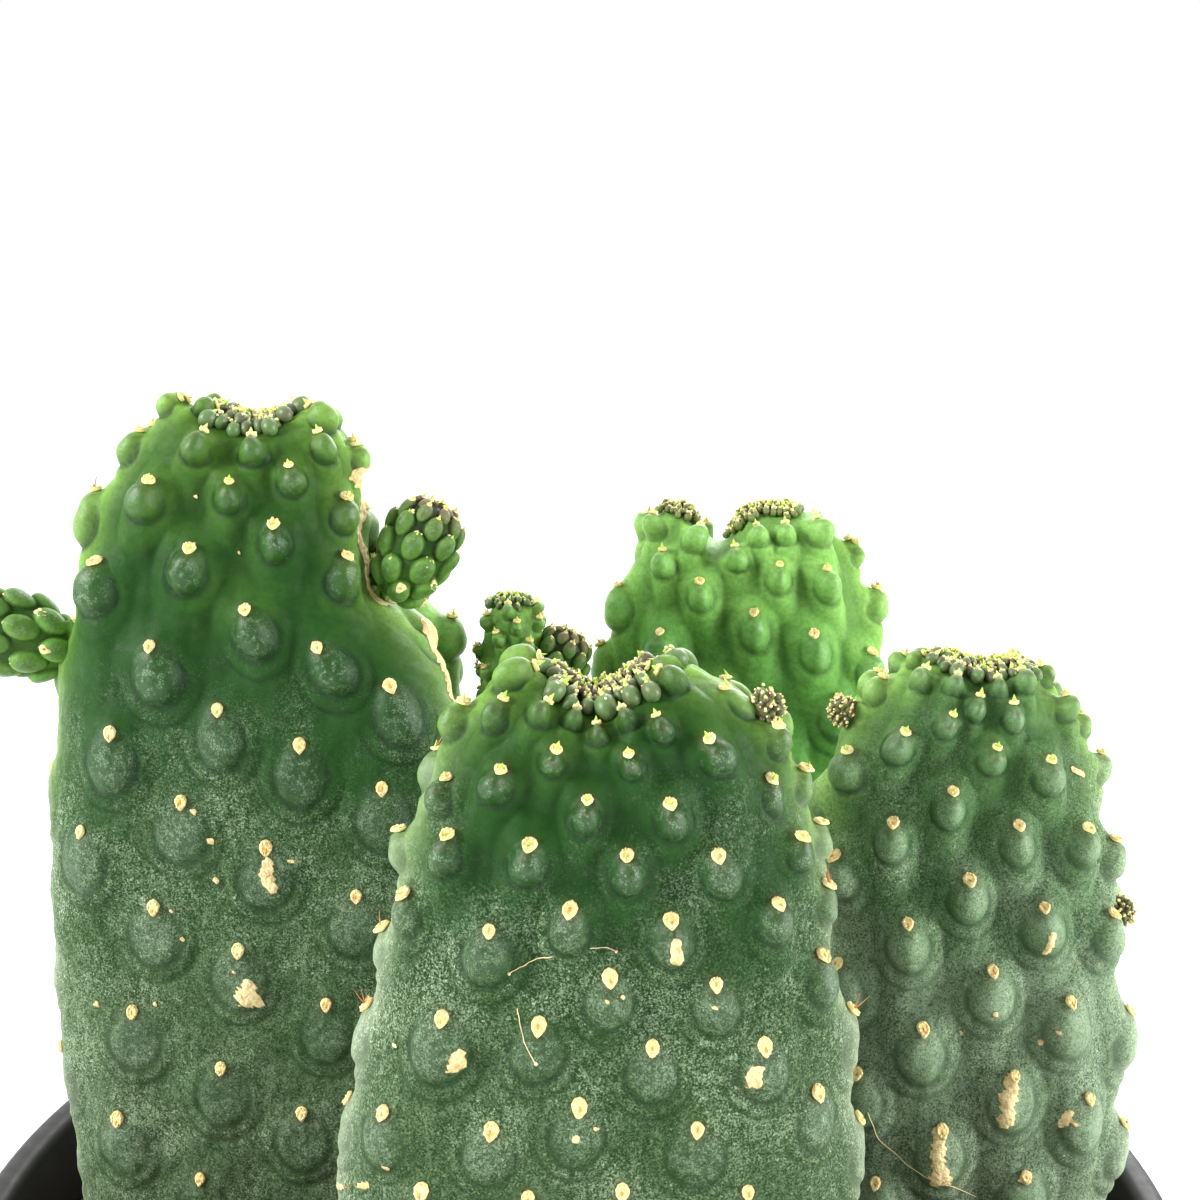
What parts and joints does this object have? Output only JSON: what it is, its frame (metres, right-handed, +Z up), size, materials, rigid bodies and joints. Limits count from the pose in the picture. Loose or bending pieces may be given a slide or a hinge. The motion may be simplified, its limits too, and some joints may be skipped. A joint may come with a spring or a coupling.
{
  "type": "potted paddle cactus",
  "caption": "Potted cactus with broad flat upright stems covered in tubercles, small side shoots and dark potting mix, in a round plastic nursery pot.",
  "frame": {"origin": "middle of the pot's foot, on the plane that the pot stands on", "axes": "+Z up along the pot's axis; X runs across the broad faces of the stems; -Y is the side of the nearest stem"},
  "size_m": [0.165, 0.165, 0.2506],
  "materials": {
    "pot_plastic": "moulded near-black nursery plastic, slightly scuffed, paler along the lip",
    "potting_mix": "coarse dark peat and bark mix with pale grit",
    "cactus_skin": "waxy green skin, brighter at the top, greyer and bloomed lower down",
    "young_skin": "tender yellow-green skin with dark purplish bead tips"
  },
  "bodies": {
    "root": {"pot": "pot_plastic", "soil": "potting_mix", "paddle_left": "cactus_skin", "paddle_front": "cactus_skin", "paddle_right": "cactus_skin", "paddle_back_right": "cactus_skin", "paddle_back_left": "cactus_skin", "paddle_back_centre": "cactus_skin", "pup_left_edge": "young_skin", "pup_left_shoulder": "young_skin", "pup_left_shoulder_small": "young_skin", "pup_back_centre": "young_skin"}
  },
  "joints": []
}
